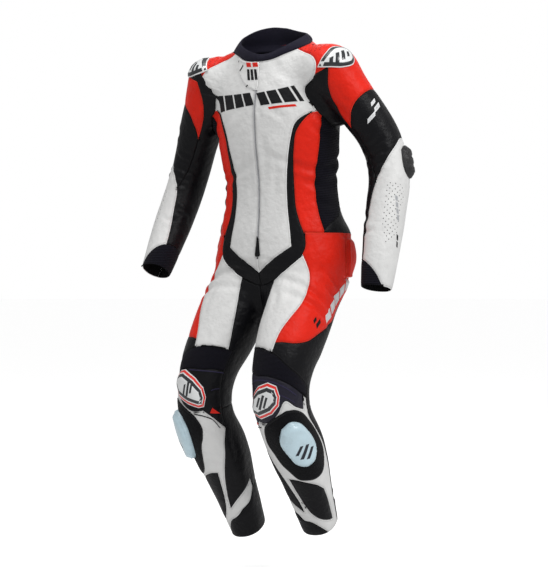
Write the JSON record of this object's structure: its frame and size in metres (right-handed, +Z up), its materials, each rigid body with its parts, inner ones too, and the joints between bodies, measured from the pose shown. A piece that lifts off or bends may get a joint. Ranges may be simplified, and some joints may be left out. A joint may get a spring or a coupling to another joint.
{
  "type": "motorcycle race suit",
  "caption": "One-piece leather race suit with stretch inserts, shoulder, elbow and knee armour and knee sliders, kept hollow in its worn shape with bent arms and knees.",
  "frame": {"origin": "middle of the shoulder yoke at the base of the neck, where the wearer's shoulders hold the suit up", "axes": "+Z up, the suit's front faces -Y, the wearer's left is +X"},
  "size_m": [0.7485, 0.3958, 1.4131],
  "materials": {
    "white_leather": "grained, semi-gloss",
    "red_leather": "grained, semi-gloss",
    "black_leather": "grained, semi-gloss",
    "stretch": "ribbed stretch cloth, matt",
    "collar_trim": "soft trim, matt",
    "armour": "moulded, satin",
    "puck": "moulded, satin",
    "zip_teeth": "satin"
  },
  "bodies": {
    "root": {"ankle_left": "black_leather", "ankle_right": "black_leather", "back_panel": "white_leather", "back_stretch": "stretch", "calf_left": "black_leather", "calf_right": "black_leather", "collar": "collar_trim", "elbow_slider_left": "armour", "elbow_slider_right": "armour", "front_flash_left": "red_leather", "front_flash_right": "red_leather", "front_left": "white_leather", "front_right": "white_leather", "front_stripe_left": "black_leather", "front_stripe_right": "black_leather", "hip_gusset_left": "black_leather", "hip_gusset_right": "black_leather", "knee_cup_left": "armour", "knee_cup_right": "armour", "knee_panel_left": "black_leather", "knee_panel_right": "black_leather", "knee_slider_left": "puck", "knee_slider_right": "puck", "knee_stretch_left": "stretch", "knee_stretch_right": "stretch", "leg_inner_left": "black_leather", "leg_inner_right": "black_leather", "lower_back": "black_leather", "neck_flap": "white_leather", "shin_insert_left": "black_leather", "shin_insert_right": "black_leather", "shin_left": "white_leather", "shin_right": "white_leather", "shoulder_cup_left": "armour", "shoulder_cup_right": "armour", "shoulder_yoke_left": "red_leather", "shoulder_yoke_right": "red_leather", "side_stretch_left": "stretch", "side_stretch_right": "stretch", "sleeve_cap_left": "red_leather", "sleeve_cap_right": "red_leather", "sleeve_cuff_left": "stretch", "sleeve_cuff_right": "stretch", "sleeve_elbow_left": "black_leather", "sleeve_elbow_right": "black_leather", "sleeve_forearm_left": "white_leather", "sleeve_forearm_right": "white_leather", "sleeve_inner_left": "black_leather", "sleeve_inner_right": "black_leather", "slider_patch_left": "black_leather", "slider_patch_right": "black_leather", "thigh_front_left": "white_leather", "thigh_front_right": "white_leather", "thigh_outer_left": "red_leather", "thigh_outer_right": "red_leather", "thigh_rear_left": "black_leather", "thigh_rear_right": "black_leather", "zip": "zip_teeth"}
  },
  "joints": []
}
